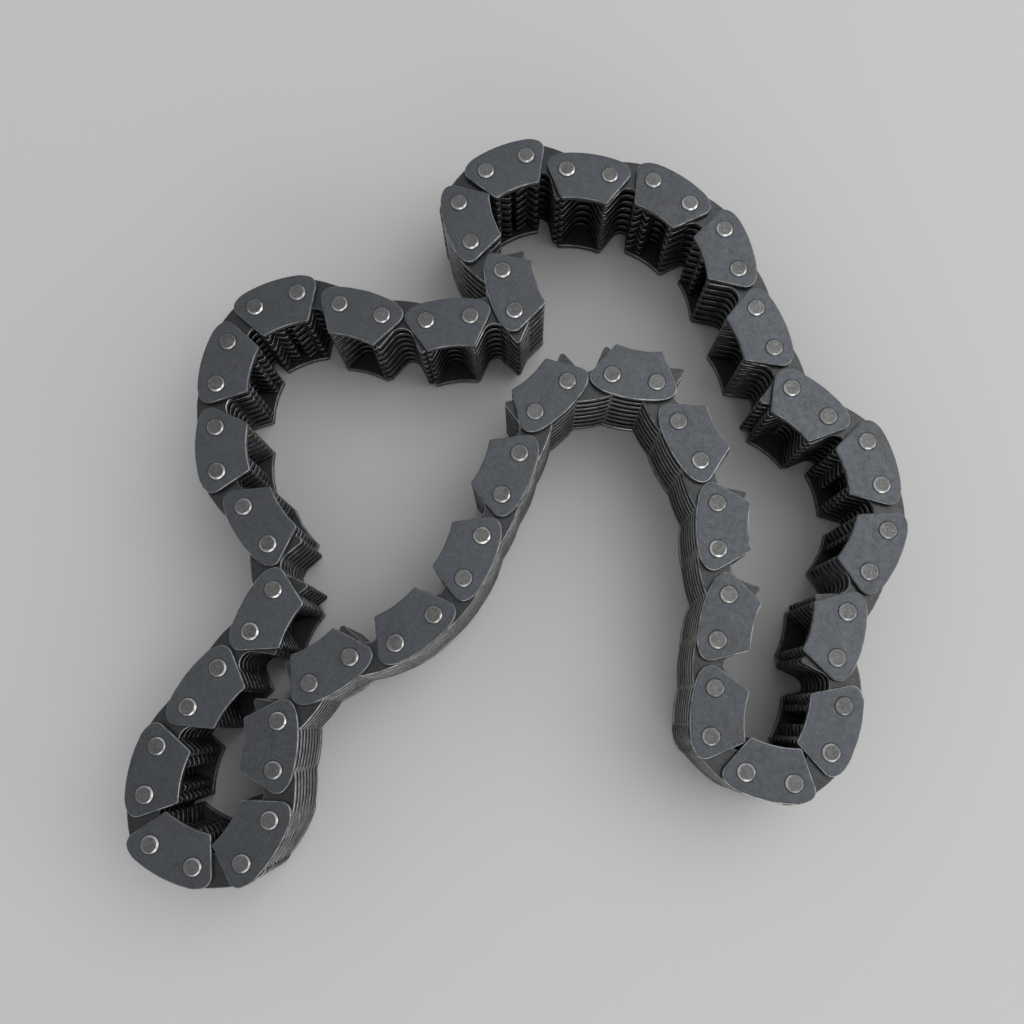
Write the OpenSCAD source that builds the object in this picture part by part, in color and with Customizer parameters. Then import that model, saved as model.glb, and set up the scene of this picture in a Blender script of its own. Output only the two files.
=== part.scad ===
// Inverted-tooth (silent) chain, an endless loop lying on its side.
// Seventy links joined by seventy pins. A guide link has two guide plates, seven
// tooth plates and two pins; the inner link between two guide links has eight tooth
// plates that turn on the pins. Teeth point to the inside of the loop.
// Lengths in millimetres, +Z up along the pins, pin ends on z = 0.

/* [Chain] */
// distance between neighbouring pin centres
pitch = 9.525; // [8:0.005:16]
// thickness of one stamped plate
plate_t = 1.45; // [1:0.05:2.5]
// running gap between neighbouring layers
layer_gap = 0.05; // [0.03:0.01:0.2]
// tooth plates in each guide link
row_plates_n = 7; // [3:1:11]

/* [Plate outline] */
// height of the arched back above the pin line
back_h = 4.5; // [3.5:0.1:6]
// radius of the arched back
back_r = 28; // [20:0.5:60]
// radius of the shoulder between back and end
shoulder_r = 6; // [4:0.1:9]
// radius of the rounded end
end_r = 2.2; // [1.5:0.1:3.5]
// reach of the rounded end from the middle of the plate
end_x = 9.25; // [8.5:0.05:10]
// where the flank's line crosses the pin line, from the middle of the plate
flank_x = 9.05; // [8.5:0.05:10]
// lean of the tooth flank from square
flank_a = 30; // [25:1:35]

/* [Guide plate] */
// depth of the guide plate's corners below the pin line
guide_toe_d = 6.9; // [5:0.1:9]
// rounding of the guide plate's corners
guide_toe_r = 0.8; // [0.2:0.05:1]
// depth of the guide plate's lower edge at the middle
guide_mid_d = 6.33; // [4:0.05:8]
// radius of the guide plate's hollow lower edge
guide_low_r = 21; // [15:0.5:60]

/* [Tooth plate] */
// depth of the tooth tips below the pin line
toe_d = 6.75; // [5:0.05:9]
// rounding of the tooth tips
toe_r = 0.7; // [0.4:0.05:1.3]
// lean of the inner tooth flank from square
crotch_a = 32; // [30:1:40]
// radius at the top of the crotch
crotch_r = 2.4; // [1:0.1:2.5]

/* [Pins] */
// pin diameter
pin_d = 3.6; // [3:0.05:4.5]
// how far a pin end stands proud of its guide plate
pin_proud = 0.5; // [0.2:0.05:1]
// chamfer on the pin ends
pin_chamfer = 0.3; // [0.1:0.05:0.5]
// radial clearance of the guide plates' bores
fixed_clear = 0.01; // [0.01:0.01:0.05]
// radial clearance of the tooth plates' bores
turn_clear = 0.06; // [0.03:0.01:0.1]

/* [Hidden] */
$fn = 64;
steel_plate = [0.30, 0.31, 0.34];
steel_inner = [0.26, 0.27, 0.29];
steel_pin = [0.62, 0.61, 0.58];
links = 70;
layer = plate_t + layer_gap;
layers = 2*row_plates_n + 3;
pin_l = 2*pin_proud + layers*layer - layer_gap;
// arcs stand this far proud of the straight edges beside them, so that edges cross cleanly
lap = 0.01;

// first and last link of each run that is free to flex
free_runs = [[9, 21], [35, 47], [53, 63]];

// lay of the loop: heading of each link in whole degrees, starting from the first pin.
// The last two links are found from the triangle that closes the loop.
start = [9.29, 23.15];
lay = [-136, -110, -113, -115, -113, -129, -143, -163, -147, -129,
       -93, -92, -122, -176, 154, 100, 79, 53, 54, 50,
       63, 99, 125, 128, 95, 92, 78, 55, 20, -16,
       -16, -7, 6, 7, 106, 136, 106, 52, 22, -20,
       -9, -8, -35, -40, -74, -69, -69, -70, -40, -35,
       -76, -86, -117, -121, -106, -85, -109, -142, 167, 134,
       83, 85, 74, 101, 89, 109, 117, 117];
open_n = len(lay);
walk = [for (i = 0, q = start; i <= open_n; q = q + pitch*[cos(lay[min(i, open_n - 1)]), sin(lay[min(i, open_n - 1)])], i = i + 1) q];
gap = walk[0] - walk[open_n];
gap_a = atan2(gap.y, gap.x);
gap_b = acos(norm(gap)/2/pitch);
heads = concat(lay, [gap_a - gap_b, gap_a + gap_b]);
pins = concat(walk, [walk[open_n] + pitch*[cos(gap_a - gap_b), sin(gap_a - gap_b)]]);

function unit(v) = v/norm(v);
function flip(v) = [-v.x, v.y];
function turn(v, a) = [v.x*cos(a) - v.y*sin(a), v.x*sin(a) + v.y*cos(a)];
// of the two points at distance ra from a and rb from b, the one nearer the middle of the plate
function meet(a, ra, b, rb) =
    let (d = b - a, l = norm(d), m = (ra*ra - rb*rb + l*l)/(2*l), h = sqrt(ra*ra - m*m),
         u = d/l, p1 = a + m*u + h*[-u.y, u.x], p2 = a + m*u - h*[-u.y, u.x])
    p1.x < p2.x ? p1 : p2;

// outline points of the upper part, shared by every plate
flank_n = [cos(flank_a), -sin(flank_a)];
flank_k = flank_x*cos(flank_a);
back_c = [0, back_h - back_r];
end_c = [end_x - end_r, (cos(flank_a)*(end_x - end_r) - flank_k + end_r)/sin(flank_a)];
shoulder_c = meet(end_c, shoulder_r - end_r, back_c, back_r - shoulder_r);
t_back = back_c + back_r*unit(shoulder_c - back_c);
t_end = shoulder_c + shoulder_r*unit(end_c - shoulder_c);
t_flank = end_c + end_r*flank_n;

// guide plate corner
g_toe = [(flank_k - guide_toe_r + sin(flank_a)*(guide_toe_r - guide_toe_d))/cos(flank_a), guide_toe_r - guide_toe_d];
// tooth tip and crotch
toe = [(flank_k - toe_r + sin(flank_a)*(toe_r - toe_d))/cos(flank_a), toe_r - toe_d];
crotch_n = [-cos(crotch_a), -sin(crotch_a)];
toe_in = toe + toe_r*crotch_n;
crotch_c = [0, (crotch_n*toe_in + crotch_r)/crotch_n.y];
crotch_t = crotch_c - crotch_r*crotch_n;

module mirrored() { children(); mirror([1, 0]) children(); }

// back, shoulders and rounded ends
module upper2d() {
    intersection() {
        translate(back_c) circle(r = back_r);
        polygon([[-t_back.x, 0], [t_back.x, 0], [t_back.x, back_h + 1], [-t_back.x, back_h + 1]]);
    }
    mirrored() {
        intersection() {
            translate(shoulder_c) circle(r = shoulder_r + lap);
            polygon([shoulder_c, shoulder_c + 2*shoulder_r*unit(end_c - shoulder_c),
                     shoulder_c + 2*shoulder_r*turn(unit(t_back - shoulder_c), 6)]);
        }
        translate(end_c) circle(r = end_r + 2*lap);
    }
}

module bores2d(clear) {
    for (s = [-1, 1]) translate([s*pitch/2, 0]) circle(r = pin_d/2 + clear);
}

module guide2d() {
    difference() {
        union() {
            upper2d();
            polygon([flip(t_back), t_back, t_end, t_flank, g_toe + guide_toe_r*flank_n, [g_toe.x, -guide_toe_d],
                     [-g_toe.x, -guide_toe_d], flip(g_toe + guide_toe_r*flank_n), flip(t_flank), flip(t_end)]);
            mirrored() translate(g_toe) circle(r = guide_toe_r + lap);
        }
        translate([0, -guide_mid_d - guide_low_r]) circle(r = guide_low_r);
        bores2d(fixed_clear);
    }
}

module tooth2d() {
    difference() {
        union() {
            upper2d();
            polygon([flip(t_back), t_back, t_end, t_flank, toe + toe_r*flank_n, toe_in, crotch_t,
                     flip(crotch_t), flip(toe_in), flip(toe + toe_r*flank_n), flip(t_flank), flip(t_end)]);
            mirrored() translate(toe) circle(r = toe_r + lap);
        }
        translate(crotch_c) circle(r = crotch_r + lap);
        bores2d(turn_clear);
    }
}

module at_link(i) {
    translate((pins[i] + pins[(i + 1) % links])/2) rotate(heads[i]) children();
}

module plate_at(k) {
    translate([0, 0, pin_proud + k*layer]) linear_extrude(plate_t) children();
}

// the two guide plates of link i
module guide_plates(i) {
    at_link(i) for (k = [0, layers - 1]) plate_at(k) guide2d();
}

// the tooth plates between the guide plates of link i
module row_plates(i) {
    at_link(i) for (j = [1:row_plates_n]) plate_at(2*j) tooth2d();
}

// the tooth plates of inner link i
module inner_plates(i) {
    at_link(i) for (j = [0:row_plates_n]) plate_at(2*j + 1) tooth2d();
}

// one pin, chamfered at both ends
module pin() {
    rotate_extrude() polygon([[0, 0], [pin_d/2 - pin_chamfer, 0], [pin_d/2, pin_chamfer],
        [pin_d/2, pin_l - pin_chamfer], [pin_d/2 - pin_chamfer, pin_l], [0, pin_l]]);
}

// the two pins of guide link i
module link_pins(i) {
    for (k = [i, i + 1]) translate(pins[k % links]) pin();
}

function is_free(i) = len([for (r = free_runs) if (i >= r[0] && i <= r[1]) 1]) > 0;
fixed_guides = [for (i = [0:2:links - 2]) if (!is_free(i)) i];
fixed_inners = [for (i = [1:2:links - 1]) if (!is_free(i)) i];

module guide_plates_fixed() { color(steel_plate) for (i = fixed_guides) guide_plates(i); }
module row_plates_fixed() { color(steel_plate) for (i = fixed_guides) row_plates(i); }
module inner_plates_fixed() { color(steel_inner) for (i = fixed_inners) inner_plates(i); }
module pins_fixed() { color(steel_pin) for (i = fixed_guides) link_pins(i); }

module inner_link_10() { color(steel_inner) inner_plates(9); }
module guide_link_11() { color(steel_plate) { guide_plates(10); row_plates(10); } }
module pins_11() { color(steel_pin) link_pins(10); }
module inner_link_12() { color(steel_inner) inner_plates(11); }
module guide_link_13() { color(steel_plate) { guide_plates(12); row_plates(12); } }
module pins_13() { color(steel_pin) link_pins(12); }
module inner_link_14() { color(steel_inner) inner_plates(13); }
module guide_link_15() { color(steel_plate) { guide_plates(14); row_plates(14); } }
module pins_15() { color(steel_pin) link_pins(14); }
module inner_link_16() { color(steel_inner) inner_plates(15); }
module guide_link_17() { color(steel_plate) { guide_plates(16); row_plates(16); } }
module pins_17() { color(steel_pin) link_pins(16); }
module inner_link_18() { color(steel_inner) inner_plates(17); }
module guide_link_19() { color(steel_plate) { guide_plates(18); row_plates(18); } }
module pins_19() { color(steel_pin) link_pins(18); }
module inner_link_20() { color(steel_inner) inner_plates(19); }
module guide_link_21() { color(steel_plate) { guide_plates(20); row_plates(20); } }
module pins_21() { color(steel_pin) link_pins(20); }
module inner_link_22() { color(steel_inner) inner_plates(21); }
module inner_link_36() { color(steel_inner) inner_plates(35); }
module guide_link_37() { color(steel_plate) { guide_plates(36); row_plates(36); } }
module pins_37() { color(steel_pin) link_pins(36); }
module inner_link_38() { color(steel_inner) inner_plates(37); }
module guide_link_39() { color(steel_plate) { guide_plates(38); row_plates(38); } }
module pins_39() { color(steel_pin) link_pins(38); }
module inner_link_40() { color(steel_inner) inner_plates(39); }
module guide_link_41() { color(steel_plate) { guide_plates(40); row_plates(40); } }
module pins_41() { color(steel_pin) link_pins(40); }
module inner_link_42() { color(steel_inner) inner_plates(41); }
module guide_link_43() { color(steel_plate) { guide_plates(42); row_plates(42); } }
module pins_43() { color(steel_pin) link_pins(42); }
module inner_link_44() { color(steel_inner) inner_plates(43); }
module guide_link_45() { color(steel_plate) { guide_plates(44); row_plates(44); } }
module pins_45() { color(steel_pin) link_pins(44); }
module inner_link_46() { color(steel_inner) inner_plates(45); }
module guide_link_47() { color(steel_plate) { guide_plates(46); row_plates(46); } }
module pins_47() { color(steel_pin) link_pins(46); }
module inner_link_48() { color(steel_inner) inner_plates(47); }
module inner_link_54() { color(steel_inner) inner_plates(53); }
module guide_link_55() { color(steel_plate) { guide_plates(54); row_plates(54); } }
module pins_55() { color(steel_pin) link_pins(54); }
module inner_link_56() { color(steel_inner) inner_plates(55); }
module guide_link_57() { color(steel_plate) { guide_plates(56); row_plates(56); } }
module pins_57() { color(steel_pin) link_pins(56); }
module inner_link_58() { color(steel_inner) inner_plates(57); }
module guide_link_59() { color(steel_plate) { guide_plates(58); row_plates(58); } }
module pins_59() { color(steel_pin) link_pins(58); }
module inner_link_60() { color(steel_inner) inner_plates(59); }
module guide_link_61() { color(steel_plate) { guide_plates(60); row_plates(60); } }
module pins_61() { color(steel_pin) link_pins(60); }
module inner_link_62() { color(steel_inner) inner_plates(61); }
module guide_link_63() { color(steel_plate) { guide_plates(62); row_plates(62); } }
module pins_63() { color(steel_pin) link_pins(62); }
module inner_link_64() { color(steel_inner) inner_plates(63); }

guide_plates_fixed();
row_plates_fixed();
inner_plates_fixed();
pins_fixed();
inner_link_10();
guide_link_11();
pins_11();
inner_link_12();
guide_link_13();
pins_13();
inner_link_14();
guide_link_15();
pins_15();
inner_link_16();
guide_link_17();
pins_17();
inner_link_18();
guide_link_19();
pins_19();
inner_link_20();
guide_link_21();
pins_21();
inner_link_22();
inner_link_36();
guide_link_37();
pins_37();
inner_link_38();
guide_link_39();
pins_39();
inner_link_40();
guide_link_41();
pins_41();
inner_link_42();
guide_link_43();
pins_43();
inner_link_44();
guide_link_45();
pins_45();
inner_link_46();
guide_link_47();
pins_47();
inner_link_48();
inner_link_54();
guide_link_55();
pins_55();
inner_link_56();
guide_link_57();
pins_57();
inner_link_58();
guide_link_59();
pins_59();
inner_link_60();
guide_link_61();
pins_61();
inner_link_62();
guide_link_63();
pins_63();
inner_link_64();
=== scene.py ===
import math

import bpy
import numpy as np
from mathutils import Matrix, Vector
from mathutils.geometry import tessellate_polygon


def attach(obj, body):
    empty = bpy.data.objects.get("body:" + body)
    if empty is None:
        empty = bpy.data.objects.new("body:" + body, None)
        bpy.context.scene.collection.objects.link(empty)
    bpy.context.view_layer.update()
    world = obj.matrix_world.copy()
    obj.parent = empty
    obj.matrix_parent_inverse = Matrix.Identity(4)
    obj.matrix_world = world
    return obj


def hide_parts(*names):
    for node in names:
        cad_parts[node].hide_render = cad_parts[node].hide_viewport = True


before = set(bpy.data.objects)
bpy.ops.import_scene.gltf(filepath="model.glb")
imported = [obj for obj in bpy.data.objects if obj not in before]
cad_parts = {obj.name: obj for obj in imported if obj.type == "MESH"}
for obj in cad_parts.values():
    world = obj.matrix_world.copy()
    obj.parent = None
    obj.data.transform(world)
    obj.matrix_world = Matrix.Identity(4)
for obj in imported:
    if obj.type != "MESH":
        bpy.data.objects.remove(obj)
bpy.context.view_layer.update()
scene = bpy.context.scene
rng = np.random.default_rng(7)

# ---------------------------------------------------------------- the chain's sizes, in mm
PITCH = 9.525
PLATE_T = 1.45
LAYER = 1.5
LAYERS = 17
PROUD = 0.5
PIN_R = 1.8
PIN_L = 2 * PROUD + LAYERS * LAYER - (LAYER - PLATE_T)
FREE_RUNS = [(9, 21), (35, 47), (53, 63)]
START = (9.29, 23.15)
LAY = [-136, -110, -113, -115, -113, -129, -143, -163, -147, -129,
       -93, -92, -122, -176, 154, 100, 79, 53, 54, 50,
       63, 99, 125, 128, 95, 92, 78, 55, 20, -16,
       -16, -7, 6, 7, 106, 136, 106, 52, 22, -20,
       -9, -8, -35, -40, -74, -69, -69, -70, -40, -35,
       -76, -86, -117, -121, -106, -85, -109, -142, 167, 134,
       83, 85, 74, 101, 89, 109, 117, 117]


def lay_loop():
    """Pin centres and link headings of the laid loop; the last two links close it."""
    pins = [np.array(START)]
    for h in LAY:
        pins.append(pins[-1] + PITCH * np.array([math.cos(math.radians(h)), math.sin(math.radians(h))]))
    gap = pins[0] - pins[-1]
    a = math.degrees(math.atan2(gap[1], gap[0]))
    b = math.degrees(math.acos(np.hypot(*gap) / 2 / PITCH))
    heads = LAY + [a - b, a + b]
    pins.append(pins[-1] + PITCH * np.array([math.cos(math.radians(a - b)), math.sin(math.radians(a - b))]))
    return np.array(pins), np.array(heads, float)


PINS, HEADS = lay_loop()
LINKS = len(HEADS)


# ---------------------------------------------------------------- plate outlines
def arc(c, r, a0, a1, n):
    t = np.radians(np.linspace(a0, a1, n))
    return np.c_[c[0] + r * np.cos(t), c[1] + r * np.sin(t)]


def angle_of(v):
    return math.degrees(math.atan2(v[1], v[0]))


def two_circles(c1, r1, c2, r2):
    d = c2 - c1
    l = np.hypot(*d)
    m = (r1 * r1 - r2 * r2 + l * l) / (2 * l)
    h = math.sqrt(max(r1 * r1 - m * m, 0))
    u = d / l
    n = np.array([-u[1], u[0]])
    return c1 + m * u + h * n, c1 + m * u - h * n


def outline(toothed):
    """Half of the plate from the middle of its back to the middle of its lower edge, then its mirror image.
    Gives the points anticlockwise and, for each, the radius of the bend it lies on."""
    back_h, back_r, sh_r, end_r, end_x, reach, flank = 4.5, 28.0, 6.0, 2.2, 9.25, 9.05, 30.0
    toe_r, toe_d = (0.7, 6.75) if toothed else (0.8, 6.9)
    f = math.radians(flank)
    fn = np.array([math.cos(f), -math.sin(f)])
    k = reach * math.cos(f)
    ex = end_x - end_r
    e = np.array([ex, (fn[0] * ex - (k - end_r)) / math.sin(f)])
    b = np.array([0.0, back_h - back_r])
    s = min(two_circles(e, sh_r - end_r, b, back_r - sh_r), key=lambda q: q[0])
    t1 = b + (s - b) / np.hypot(*(s - b)) * back_r
    t2 = s + (e - s) / np.hypot(*(e - s)) * sh_r
    ty = toe_r - toe_d
    tc = np.array([(k - toe_r + math.sin(f) * ty) / fn[0], ty])
    parts = [(arc(b, back_r, 90, angle_of(t1 - b), 6), 28.0),
             (arc(s, sh_r, angle_of(t1 - s), angle_of(t2 - s), 7), 6.0),
             (arc(e, end_r, angle_of(t2 - e), -flank, 6), 2.2)]
    # two more points on the straight flank keep the wear band narrow there
    p0, p1 = e + fn * end_r, tc + fn * toe_r
    parts.append((np.array([p0 + (p1 - p0) * q for q in (0.33, 0.67)]), 90.0))
    if toothed:
        ca, cr = 32.0, 2.4
        nin = np.array([-math.cos(math.radians(ca)), -math.sin(math.radians(ca))])
        parts.append((arc(tc, toe_r, -flank, -(180 - ca), 8), toe_r))
        q = tc + nin * toe_r
        cc = np.array([0.0, (nin @ q + cr) / nin[1]])
        parts.append((arc(cc, cr, ca, 90, 7), 90.0))
    else:
        lr, ld = 21.0, 6.33
        bc = np.array([0.0, -ld - lr])
        q = max(two_circles(tc, toe_r, bc, lr), key=lambda v: v[0])
        a1 = angle_of(q - tc)
        parts.append((arc(tc, toe_r, -flank, a1 if a1 < 0 else a1 - 360, 5), toe_r))
        parts.append((arc(bc, lr, angle_of(q - bc), 90, 7), 90.0))
    half = np.vstack([q for q, _ in parts])
    bend = np.concatenate([np.full(len(q), r) for q, r in parts])
    full = np.vstack([half, np.c_[-half[::-1, 0], half[::-1, 1]]])
    bend = np.concatenate([bend, bend[::-1]])
    keep = [0]
    for i in range(1, len(full)):
        if np.hypot(*(full[i] - full[keep[-1]])) > 1e-4:
            keep.append(i)
    if np.hypot(*(full[keep[0]] - full[keep[-1]])) < 1e-4:
        keep.pop()
    return full[keep][::-1], bend[keep][::-1]


def inset(pts, bend, d):
    """The outline moved inwards by d, less where a tight bend has no room for it."""
    nxt, prv = np.roll(pts, -1, 0), np.roll(pts, 1, 0)
    e1, e2 = pts - prv, nxt - pts
    n1 = np.c_[-e1[:, 1], e1[:, 0]] / np.hypot(e1[:, 0], e1[:, 1])[:, None]
    n2 = np.c_[-e2[:, 1], e2[:, 0]] / np.hypot(e2[:, 0], e2[:, 1])[:, None]
    n = n1 + n2
    n /= np.hypot(n[:, 0], n[:, 1])[:, None]
    c = np.clip((n * n1).sum(1), 0.5, 1)
    return pts + n * (np.minimum(d, 0.85 * bend) / c)[:, None]


class Mesh:
    """Points, faces and masks of one kind of plate or pin. mask is wear, dirt and painted shade, back."""

    def __init__(self):
        self.v, self.m, self.f, self.smooth, self.crease, self.n = [], [], [], [], [], 0

    def sharp(self, ring):
        self.crease += list(zip(ring, np.roll(ring, -1)))

    def ring(self, xy, z, mask):
        xy = np.asarray(xy, float)
        z = np.broadcast_to(np.asarray(z, float), (len(xy),))
        mask = np.asarray(mask, float)
        if mask.ndim == 1:
            mask = np.broadcast_to(mask, (len(xy), 3))
        self.v.append(np.c_[xy, z])
        self.m.append(mask)
        i = np.arange(self.n, self.n + len(xy))
        self.n += len(xy)
        return i

    def band(self, a, b, smooth=True, out=True):
        """Quads between two rings of equal length; a below b on an outer wall."""
        k = len(a)
        for i in range(k):
            j = (i + 1) % k
            q = (a[i], a[j], b[j], b[i])
            self.f.append(q if out else q[::-1])
            self.smooth.append(smooth)

    def cap(self, rings, up):
        flat = np.concatenate(rings)
        allv = np.vstack(self.v)
        loops = [[Vector((allv[i][0], allv[i][1], 0)) for i in r] for r in rings]
        for t in tessellate_polygon(loops):
            q = [flat[i] for i in t]
            a, b, c = (allv[i] for i in q)
            area = (b[0] - a[0]) * (c[1] - a[1]) - (b[1] - a[1]) * (c[0] - a[0])
            if (area > 0) != up:
                q = q[::-1]
            self.f.append(tuple(q))
            self.smooth.append(False)

    def done(self):
        self.v, self.m = np.vstack(self.v), np.vstack(self.m)
        return self


# edge profiles, outermost last: how far in from the outline, how far below the face, wear
ROLLED = ((0.42, 0.0, 0.0), (0.24, 0.016, 0.0), (0.17, 0.03, 0.25), (0.09, 0.085, 0.8), (0.03, 0.16, 1.0), (0.0, 0.26, 0.3))
TUMBLED = ((0.24, 0.0, 0.0), (0.19, 0.010, 0.15), (0.09, 0.07, 0.8), (0.02, 0.15, 1.0), (0.0, 0.24, 0.3))
SHEARED = ((0.13, 0.0, 0.1), (0.04, 0.04, 1.0), (0.0, 0.13, 0.25))


def plate_mesh(toothed, fine, profile, bore_r, painted_shade_low=0.0, painted_shade_high=0.0, clean=0.0):
    """One plate. Its punched wall is burnished in the upper part and torn, dull and dirty in the lower part."""
    pts, bend = outline(toothed)
    # the back is rubbed where it stands proud of its neighbours, between the two pins
    back = np.clip((pts[:, 1] - 0.2) / 2.2, 0, 1) * np.clip((6.2 - np.abs(pts[:, 0])) / 1.8, 0, 1)

    def mask(wear, side, dirt_and_shade=0.0):
        return np.c_[np.full(len(pts), wear), np.full(len(pts), dirt_and_shade), back * side]

    m = Mesh()
    low, high = [], []
    for k, (d, z, w) in enumerate(profile):
        side = 1.0 if k == len(profile) - 1 else 0.5 if k == len(profile) - 2 else 0.0
        xy = inset(pts, bend, d) if d else pts
        # painted shade: faces lying inside the stack are darkened at their outline and around the bores, and the
        # lower edge rings by 0.35, for the shade in the thin gaps between plates; the torn lower wall keeps its
        # real dirt
        low.append(m.ring(xy, z, mask(w * 0.5, side * 0.4, painted_shade_low if k == 0 else 0.35)))
        q = mask(w, side, painted_shade_high if k == 0 else 0.0)
        q[:, 2] = np.maximum(q[:, 2], clean)
        high.append(m.ring(xy, PLATE_T - z, q))
    for k in range(len(profile) - 1):
        m.band(low[k], low[k + 1])
        m.band(high[k + 1], high[k])
    torn = m.ring(pts, PLATE_T * 0.44, mask(0.0, 0.30, 0.45))
    shear = m.ring(pts, PLATE_T * 0.50, mask(0.0, 1.0))
    m.band(low[-1], torn)
    m.band(torn, shear)
    m.band(shear, high[-1])
    lo_edge, hi_edge = low[0], high[0]
    if fine and profile[0][2] > 0:
        lo_in = m.ring(inset(pts, bend, profile[0][0] + 0.2), 0.0, mask(0.0, 0.0, painted_shade_low))
        hi_in = m.ring(inset(pts, bend, profile[0][0] + 0.2), PLATE_T, mask(0.0, 0.0, painted_shade_high))
        m.band(lo_in, lo_edge, smooth=False)
        m.band(hi_edge, hi_in, smooth=False)
        lo_edge, hi_edge = lo_in, hi_in
    seg = 32 if fine else 18
    t = np.arange(seg) / seg * 2 * math.pi
    circle = np.c_[np.cos(t), np.sin(t)]
    lo_holes, hi_holes = [], []
    for side in (-1, 1):
        c = np.array([side * PITCH / 2, 0.0])
        if fine:
            # the outer bore rings carry the same painted shade as the face they lie in
            r = [m.ring(c + circle * (bore_r + 0.26), 0.0, (0, painted_shade_low, 0)),
                 m.ring(c + circle * (bore_r + 0.05), 0.0, (0, 1, 0)),
                 m.ring(c + circle * bore_r, 0.07, (0, 1, 0)),
                 m.ring(c + circle * bore_r, PLATE_T - 0.07, (0, 1, 0)),
                 m.ring(c + circle * (bore_r + 0.05), PLATE_T, (0, 1, 0)),
                 m.ring(c + circle * (bore_r + 0.26), PLATE_T, (0, painted_shade_high, clean))]
            for i in range(5):
                m.band(r[i], r[i + 1], smooth=i in (1, 2, 3), out=False)
            lo_holes.append(r[0])
            hi_holes.append(r[-1])
        else:
            r = [m.ring(c + circle * bore_r, 0.0, (0, 1, 0)), m.ring(c + circle * bore_r, PLATE_T, (0, 1, 0))]
            m.band(r[0], r[1], out=False)
            lo_holes.append(r[0])
            hi_holes.append(r[1])
    m.cap([lo_edge] + lo_holes, up=False)
    m.cap([hi_edge] + hi_holes, up=True)
    return m.done()


def pin_mesh(k):
    """One pin. The ends are sheared and rolled, so the flat and the chamfer differ from pin to pin."""
    r = np.random.default_rng(100 + k)
    seg = 40
    t = np.arange(seg) / seg * 2 * math.pi
    circle = np.c_[np.cos(t), np.sin(t)]
    m = Mesh()
    rows = []
    for end in (0, 1):
        ph = r.uniform(0, 2 * math.pi, 4)
        wob = 0.026 * np.sin(2 * t + ph[0]) + 0.020 * np.sin(3 * t + ph[1]) + 0.014 * np.sin(7 * t + ph[2])
        wide = r.uniform(-0.06, 0.03)
        dish = r.uniform(0.0, 0.015)
        prof = [(0.70, dish, 0.0, 0.0), (1.48 + wide, 0.0, 0.0, 1.0), (1.50 + wide, 0.0, 1.0, 1.0),
                (1.64 + wide / 2, 0.15, 1.0, 0.5), (1.79, 0.32, 1.0, 0.0), (1.80, 0.36, 0.8, 0.0), (1.80, 0.60, 0.2, 0.0)]
        rows.append([(circle * (q + wob * w)[:, None], d, wear) for q, d, wear, w in
                     [(q, d, wear, w) for q, d, wear, w in prof]])
    low = [m.ring(xy, d, (w, 0, 0)) for xy, d, w in rows[0]]
    high = [m.ring(xy, PIN_L - d, (w, 0, 0)) for xy, d, w in rows[1]]
    for i in range(len(low) - 1):
        m.band(low[i], low[i + 1], smooth=i > 1)
        m.band(high[i + 1], high[i], smooth=i > 1)
    for k in (2, 4):
        m.sharp(low[k])
        m.sharp(high[k])
    m.band(low[-1], high[-1])
    m.cap([low[0]], up=False)
    m.cap([high[0]], up=True)
    return m.done()


GUIDE_TOP = plate_mesh(False, True, ROLLED, 1.81, painted_shade_low=0.6)
GUIDE_FOOT = plate_mesh(False, True, ROLLED, 1.81, painted_shade_high=0.6)
TOOTH_TOP = plate_mesh(True, True, TUMBLED, 1.86, painted_shade_low=0.6, clean=0.14)
TOOTH_FOOT = plate_mesh(True, True, TUMBLED, 1.86, painted_shade_high=0.6)
TOOTH = plate_mesh(True, False, SHEARED, 1.86, painted_shade_low=0.6, painted_shade_high=0.6)
MIDDLE_PINS = [pin_mesh(i) for i in range(LINKS)]


def at_link(i):
    """Origin in the middle of link i, x along it."""
    a = math.radians(HEADS[i])
    x = np.array([math.cos(a), math.sin(a)])
    return PINS[i] + x * PITCH / 2, a


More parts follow.
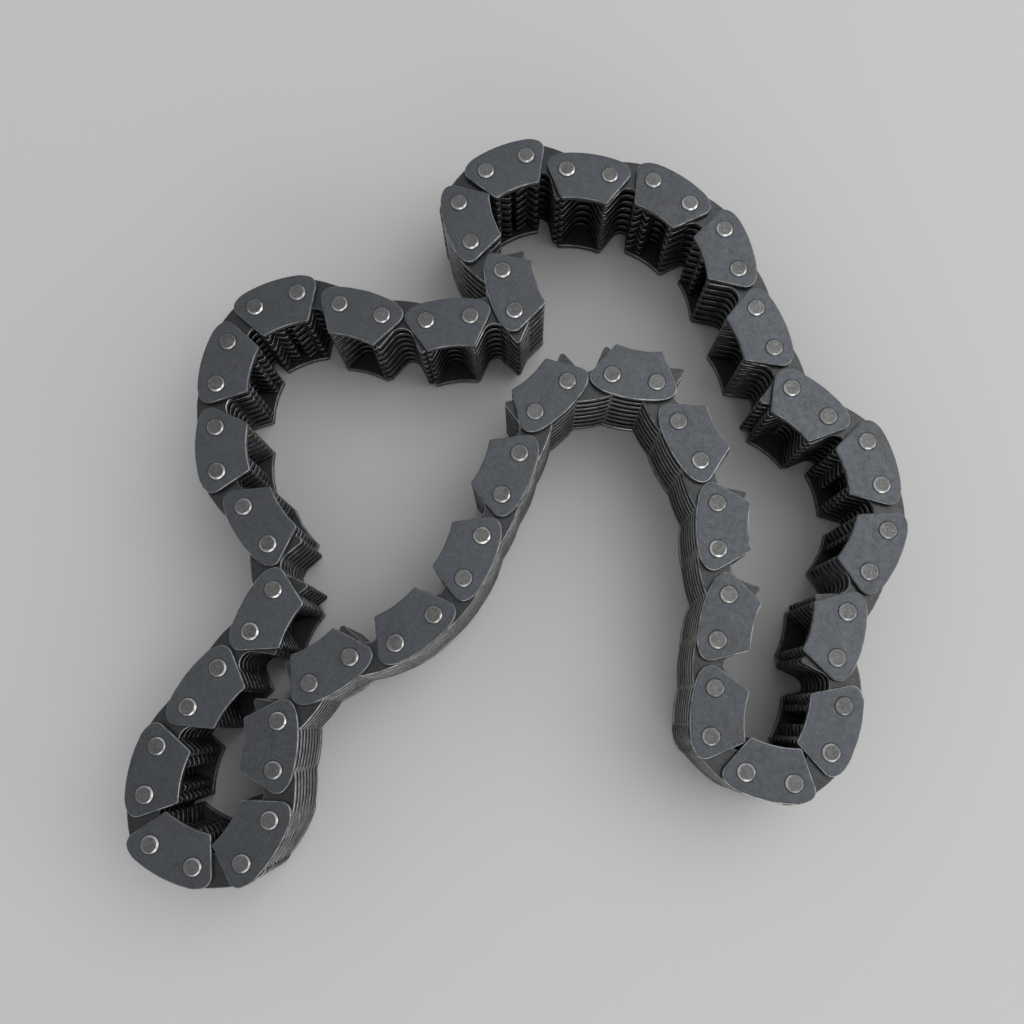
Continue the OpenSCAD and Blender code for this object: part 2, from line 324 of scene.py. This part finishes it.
class Piece:
    """Gathers plates or pins into the mesh of one node."""

    def __init__(self, name):
        self.name = name
        self.v, self.loc, self.mask, self.f, self.sm, self.mat, self.crease, self.n = [], [], [], [], [], [], [], 0

    def add(self, mesh, origin, turn, z, material, jitter=False, depth=0.0, rub=1.0):
        """depth is 0 at the top of the stack and 1 at its foot; lower plates are painted darker, with dimmer edges
        and backs, as painted shade deep in the stack.
        """
        if jitter:
            origin = origin + rng.uniform(-0.018, 0.018, 2)
            turn = turn + math.radians(rng.uniform(-0.12, 0.12))
            z = z + rng.uniform(-0.012, 0.012)
        c, s = math.cos(turn), math.sin(turn)
        xy = mesh.v[:, :2] @ np.array([[c, s], [-s, c]]) + origin
        self.v.append(np.c_[xy, mesh.v[:, 2] + z])
        self.loc.append(mesh.v + rng.uniform(-400, 400, 3))
        m = mesh.m.copy()
        # painted shade: edge wear, back brightness and darkening scale with depth in the stack
        m[:, 0] *= rub * (1.0 - 0.6 * depth) * rng.uniform(0.55, 1.15)
        m[:, 1] = np.maximum(m[:, 1], 0.45 * depth)
        m[:, 2] *= 1.0 - 0.35 * depth
        self.mask.append(np.c_[m, np.full(len(mesh.v), rng.uniform())])
        self.f += [tuple(int(k) + self.n for k in q) for q in mesh.f]
        self.sm += mesh.smooth
        self.mat += [material] * len(mesh.f)
        self.crease += [(int(a) + self.n, int(b) + self.n) for a, b in mesh.crease]
        self.n += len(mesh.v)

    def build(self, node, body, slot, materials):
        me = bpy.data.meshes.new(self.name)
        me.from_pydata((np.vstack(self.v) * 0.001).tolist(), [], self.f)
        me.polygons.foreach_set("use_smooth", np.array(self.sm, bool))
        me.polygons.foreach_set("material_index", np.array(self.mat, np.int32))
        a = me.attributes.new("loc", "FLOAT_VECTOR", "POINT")
        a.data.foreach_set("vector", np.vstack(self.loc).astype(np.float32).ravel())
        a = me.attributes.new("mask", "FLOAT_COLOR", "POINT")
        a.data.foreach_set("color", np.vstack(self.mask).astype(np.float32).ravel())
        me.update()
        if self.crease:
            e = np.empty(len(me.edges) * 2, np.int32)
            me.edges.foreach_get("vertices", e)
            e = np.sort(e.reshape(-1, 2), axis=1).astype(np.int64)
            s = np.sort(np.array(self.crease, np.int64), axis=1)
            a = me.attributes.new("sharp_edge", "BOOLEAN", "EDGE")
            a.data.foreach_set("value", np.isin(e[:, 0] * self.n + e[:, 1], s[:, 0] * self.n + s[:, 1]))
        for mat in materials:
            me.materials.append(mat)
        o = bpy.data.objects.new(self.name, me)
        scene.collection.objects.link(o)
        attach(o, body)
        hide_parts(node)
        return o


# ---------------------------------------------------------------- materials
class Nodes:
    def __init__(self, name):
        self.mat = bpy.data.materials.new(name)
        self.mat.use_nodes = True
        self.t = self.mat.node_tree
        self.bsdf = self.t.nodes["Principled BSDF"]

    def new(self, kind, **props):
        n = self.t.nodes.new(kind)
        for k, v in props.items():
            setattr(n, k, v)
        return n

    def link(self, a, b):
        self.t.links.new(a, b)

    def put(self, socket, value):
        if hasattr(value, "is_linked") or hasattr(value, "links"):
            self.link(value, socket)
        else:
            socket.default_value = value

    def math(self, op, a, b=0.5, clamp=False):
        n = self.new("ShaderNodeMath", operation=op, use_clamp=clamp)
        self.put(n.inputs[0], a)
        self.put(n.inputs[1], b)
        return n.outputs[0]

    def remap(self, x, a, b, c=0.0, d=1.0):
        n = self.new("ShaderNodeMapRange")
        self.put(n.inputs["Value"], x)
        for k, v in (("From Min", a), ("From Max", b), ("To Min", c), ("To Max", d)):
            n.inputs[k].default_value = v
        return n.outputs["Result"]

    def mix(self, f, a, b, blend="MIX"):
        n = self.new("ShaderNodeMix", data_type="RGBA", blend_type=blend)
        self.put(n.inputs["Factor"], f)
        self.put(n.inputs["A"], a if hasattr(a, "links") else (*a, 1.0))
        self.put(n.inputs["B"], b if hasattr(b, "links") else (*b, 1.0))
        return n.outputs["Result"]

    def noise(self, vec, scale, detail=3.0, rough=0.55, stretch=None, distort=0.0):
        if stretch:
            s = self.new("ShaderNodeVectorMath", operation="MULTIPLY")
            self.link(vec, s.inputs[0])
            s.inputs[1].default_value = stretch
            vec = s.outputs[0]
        n = self.new("ShaderNodeTexNoise")
        self.link(vec, n.inputs["Vector"])
        n.inputs["Scale"].default_value = scale
        n.inputs["Detail"].default_value = detail
        n.inputs["Roughness"].default_value = rough
        n.inputs["Distortion"].default_value = distort
        return n.outputs["Fac"]

    def masks(self):
        loc = self.new("ShaderNodeAttribute", attribute_name="loc").outputs["Vector"]
        a = self.new("ShaderNodeAttribute", attribute_name="mask")
        s = self.new("ShaderNodeSeparateColor")
        self.link(a.outputs["Color"], s.inputs[0])
        return loc, s.outputs[0], s.outputs[1], s.outputs[2], a.outputs["Alpha"]


def steel_plate(name, dark, light, warm, edge, back_col, back_amount, rough, wear_gain):
    """Hardened plate: mottled faces, rubbed edges, streaked punched walls, dirt in the bores, painted shade inside
    the stack.
    """
    n = Nodes(name)
    loc, wear, rim_dirt_and_shade, back, tone = n.masks()
    cloud = n.remap(n.noise(loc, 0.22, 4.0, 0.6, distort=0.4), 0.32, 0.68)
    grain = n.noise(loc, 6.0, 3.0, 0.65, stretch=(1.0, 1.0, 0.10))
    speck = n.noise(loc, 2.2, 5.0, 0.7)
    col = n.mix(cloud, dark, light)
    # plate to plate difference
    col = n.mix(n.math("MULTIPLY", tone, 0.38), col, tuple(c * 1.55 for c in light))
    # warm oily stains, in patches
    stain = n.remap(n.noise(loc, 0.10, 3.0, 0.55), 0.53, 0.72)
    col = n.mix(n.math("MULTIPLY", stain, 0.55), col, warm)
    # fine grain of the tumbled surface
    col = n.mix(n.remap(grain, 0.35, 0.65, 0.0, 0.60), col, tuple(c * 0.45 for c in dark))
    mottle = n.noise(loc, 0.75, 3.0, 0.6)
    col = n.mix(n.remap(mottle, 0.35, 0.70, 0.0, 0.20), col, tuple(c * 1.7 for c in light))
    coarse = n.noise(loc, 2.6, 4.0, 0.7)
    col = n.mix(n.remap(coarse, 0.40, 0.70, 0.0, 0.40), col, tuple(c * 1.8 for c in light))
    # a few nicks down to bright metal
    nick = n.remap(speck, 0.70, 0.76, 0.0, 0.55)
    col = n.mix(nick, col, tuple(c * 4.0 for c in light))
    # the back rubs on its guide and is cleaner than the tooth side
    streak = n.remap(n.noise(loc, 3.0, 3.0, 0.6, stretch=(1.0, 1.0, 0.12)), 0.3, 0.7, 0.35, 1.0)
    col = n.mix(n.math("MULTIPLY", n.math("MULTIPLY", back, back_amount), streak), col, back_col)
    # worn bright edges, broken up
    chip = n.remap(n.noise(loc, 0.55, 4.0, 0.6), 0.38, 0.62, 0.22, 1.0)
    worn = n.math("MULTIPLY", n.math("MULTIPLY", wear, chip), wear_gain, clamp=True)
    col = n.mix(worn, col, edge)
    # old oil and dirt around the pins, and painted shade on the faces and lower edges inside the stack, stronger
    # towards its foot
    grime_and_shade = n.math("MULTIPLY", rim_dirt_and_shade, n.remap(n.noise(loc, 1.7, 3.0), 0.3, 0.7, 0.6, 1.0))
    col = n.mix(n.math("MULTIPLY", grime_and_shade, 0.85), col, (0.010, 0.010, 0.011))
    n.link(col, n.bsdf.inputs["Base Color"])
    n.bsdf.inputs["Metallic"].default_value = 0.85
    r = n.remap(n.noise(loc, 0.8, 4.0, 0.6), 0.3, 0.7, rough - 0.07, rough + 0.09)
    r = n.math("SUBTRACT", r, n.math("MULTIPLY", worn, 0.16))
    r = n.math("ADD", r, n.math("MULTIPLY", grime_and_shade, 0.2), clamp=True)
    n.link(r, n.bsdf.inputs["Roughness"])
    bump = n.new("ShaderNodeBump")
    bump.inputs["Strength"].default_value = 0.16
    bump.inputs["Distance"].default_value = 0.00006
    h = n.math("ADD", grain, n.math("MULTIPLY", n.noise(loc, 14.0, 2.0, stretch=(1.0, 1.0, 0.2)), 0.5))
    n.link(h, bump.inputs["Height"])
    n.link(bump.outputs["Normal"], n.bsdf.inputs["Normal"])
    return n.mat


def steel_pin(name):
    """Pin: matt grainy end face, bright rolled chamfer."""
    n = Nodes(name)
    loc, wear, rim_dirt_and_shade, back, tone = n.masks()
    grain = n.noise(loc, 2.4, 5.0, 0.75)
    cloud = n.remap(n.noise(loc, 0.7, 4.0, 0.6), 0.3, 0.7)
    col = n.mix(cloud, (0.118, 0.117, 0.112), (0.190, 0.188, 0.180))
    col = n.mix(n.remap(grain, 0.4, 0.65, 0.0, 0.85), col, (0.050, 0.049, 0.047))
    col = n.mix(n.math("MULTIPLY", tone, 0.25), col, (0.25, 0.245, 0.235))
    shine = n.math("MULTIPLY", wear, n.remap(n.noise(loc, 1.1, 3.0), 0.25, 0.6, 0.55, 1.0), clamp=True)
    col = n.mix(shine, col, (0.66, 0.65, 0.62))
    n.link(col, n.bsdf.inputs["Base Color"])
    n.bsdf.inputs["Metallic"].default_value = 0.9
    r = n.remap(n.noise(loc, 1.6, 3.0), 0.3, 0.7, 0.42, 0.56)
    n.link(n.math("SUBTRACT", r, n.math("MULTIPLY", shine, 0.28)), n.bsdf.inputs["Roughness"])
    bump = n.new("ShaderNodeBump")
    bump.inputs["Strength"].default_value = 0.25
    bump.inputs["Distance"].default_value = 0.00006
    n.link(grain, bump.inputs["Height"])
    n.link(bump.outputs["Normal"], n.bsdf.inputs["Normal"])
    return n.mat


M_GUIDE = steel_plate("guide_plate_steel", (0.066, 0.069, 0.075), (0.084, 0.087, 0.094), (0.078, 0.074, 0.068),
                      (0.55, 0.55, 0.535), (0.14, 0.14, 0.142), 0.4, 0.455, 1.0)
# the tooth plates are far darker than the guide plates: partly old oil, partly painted shade for the deep crotches
# of the stack
M_TOOTH = steel_plate("tooth_plate_steel", (0.017, 0.017, 0.018), (0.029, 0.029, 0.029), (0.034, 0.032, 0.027),
                      (0.60, 0.60, 0.58), (0.34, 0.34, 0.33), 0.85, 0.33, 1.0)
M_PIN = steel_pin("pin_steel")

# ---------------------------------------------------------------- the pieces
layer_z = [PROUD + LAYER * k for k in range(LAYERS)]
GUIDE_ROWS = (0, LAYERS - 1)
ROW = range(2, LAYERS - 2, 2)
INNER = range(1, LAYERS - 1, 2)


def add_guides(p, i, mat):
    o, a = at_link(i)
    for k, mesh in zip(GUIDE_ROWS, (GUIDE_FOOT, GUIDE_TOP)):
        # the guide plates of links 57 to 70 get brighter edges: painted highlight where light from the right falls
        # on them
        p.add(mesh, o, a, layer_z[k], mat, rub=2.4 if i >= 56 else 1.0)


def add_row(p, i, mat):
    o, a = at_link(i)
    for k in ROW:
        p.add(TOOTH, o, a, layer_z[k], mat, jitter=True, depth=1.0 - k / (LAYERS - 1))


def add_inner(p, i, mat):
    o, a = at_link(i)
    for k in INNER:
        mesh = TOOTH_FOOT if k == 1 else TOOTH_TOP if k == LAYERS - 2 else TOOTH
        p.add(mesh, o, a, layer_z[k], mat, jitter=True, depth=1.0 - k / (LAYERS - 1))


def add_pins(p, i, mat):
    for k in (i, (i + 1) % LINKS):
        p.add(MIDDLE_PINS[k], PINS[k], rng.uniform(0, 6.28), 0.0, mat)


def is_free(i):
    return any(a <= i <= b for a, b in FREE_RUNS)


fixed_g, fixed_r, fixed_i, fixed_p = (Piece(n) for n in ("fixed_guide_plates", "fixed_row_plates", "fixed_inner_plates", "fixed_pins"))
for i in range(LINKS):
    tag = "%02d" % (i + 1)
    if i % 2 == 0:
        if is_free(i):
            p = Piece("link_%s_guide_and_row_plates" % tag)
            add_guides(p, i, 0)
            add_row(p, i, 1)
            p.build("guide_link_" + tag, "link_" + tag, "guide_steel", [M_GUIDE, M_TOOTH])
            p = Piece("link_%s_pins" % tag)
            add_pins(p, i, 0)
            p.build("pins_" + tag, "link_" + tag, "pin_steel", [M_PIN])
        else:
            add_guides(fixed_g, i, 0)
            add_row(fixed_r, i, 0)
            add_pins(fixed_p, i, 0)
    elif is_free(i):
        p = Piece("link_%s_inner_plates" % tag)
        add_inner(p, i, 0)
        p.build("inner_link_" + tag, "link_" + tag, "tooth_steel", [M_TOOTH])
    else:
        add_inner(fixed_i, i, 0)
fixed_g.build("guide_plates_fixed", "fixed_runs", "guide_steel", [M_GUIDE])
fixed_r.build("row_plates_fixed", "fixed_runs", "tooth_steel", [M_TOOTH])
fixed_i.build("inner_plates_fixed", "fixed_runs", "tooth_steel", [M_TOOTH])
fixed_p.build("pins_fixed", "fixed_runs", "pin_steel", [M_PIN])

# ---------------------------------------------------------------- floor, light, camera
me = bpy.data.meshes.new("floor")
me.from_pydata([(-3, -3, -0.0001), (3, -3, -0.0001), (3, 3, -0.0001), (-3, 3, -0.0001)], [], [(0, 1, 2, 3)])
floor = bpy.data.objects.new("floor", me)
scene.collection.objects.link(floor)
mf = bpy.data.materials.new("pale_floor")
mf.use_nodes = True
mf.node_tree.nodes["Principled BSDF"].inputs["Base Color"].default_value = (0.60, 0.588, 0.565, 1)
mf.node_tree.nodes["Principled BSDF"].inputs["Roughness"].default_value = 0.9
mf.node_tree.nodes["Principled BSDF"].inputs["Specular IOR Level"].default_value = 0.2
me.materials.append(mf)

world = bpy.data.worlds.new("soft_dome")
scene.world = world
world.use_nodes = True
world.node_tree.nodes["Background"].inputs["Color"].default_value = (0.93, 0.96, 1.0, 1)
world.node_tree.nodes["Background"].inputs["Strength"].default_value = 0.55


def soft_box(name, place, aim, size, power, color=(1, 1, 1)):
    l = bpy.data.lights.new(name, "AREA")
    l.shape = "DISK"
    l.size = size
    l.energy = power
    l.color = color
    o = bpy.data.objects.new(name, l)
    o.location = place
    o.rotation_euler = (Vector(aim) - Vector(place)).to_track_quat("-Z", "Y").to_euler()
    scene.collection.objects.link(o)


soft_box("top_box", (0.60, 0.30, 1.15), (0, 0, 0), 1.3, 7.2, (0.95, 0.98, 1.0))
soft_box("front_box", (0.30, -0.92, 0.34), (0, 0, 0.01), 0.9, 2.4)
soft_box("right_box", (1.05, -0.20, 0.36), (0, 0, 0.01), 0.8, 2.4)

cam = bpy.data.cameras.new("camera")
cam.sensor_width = 36.0
cam.sensor_fit = "HORIZONTAL"
cam.lens = 36.0 * 1050.0 / 1024.0
cam.clip_start = 0.01
o = bpy.data.objects.new("camera", cam)
right = Vector((0.99993, 0.0, -0.01178))
back = Vector((0.01157, -0.18950, 0.98182)).normalized()
up = back.cross(right).normalized()
right = up.cross(back).normalized()
o.matrix_world = Matrix(((right.x, up.x, back.x, 0.000098), (right.y, up.y, back.y, -0.045851),
                         (right.z, up.z, back.z, 0.2380), (0, 0, 0, 1)))
scene.collection.objects.link(o)
scene.camera = o
scene.view_settings.view_transform = "Standard"
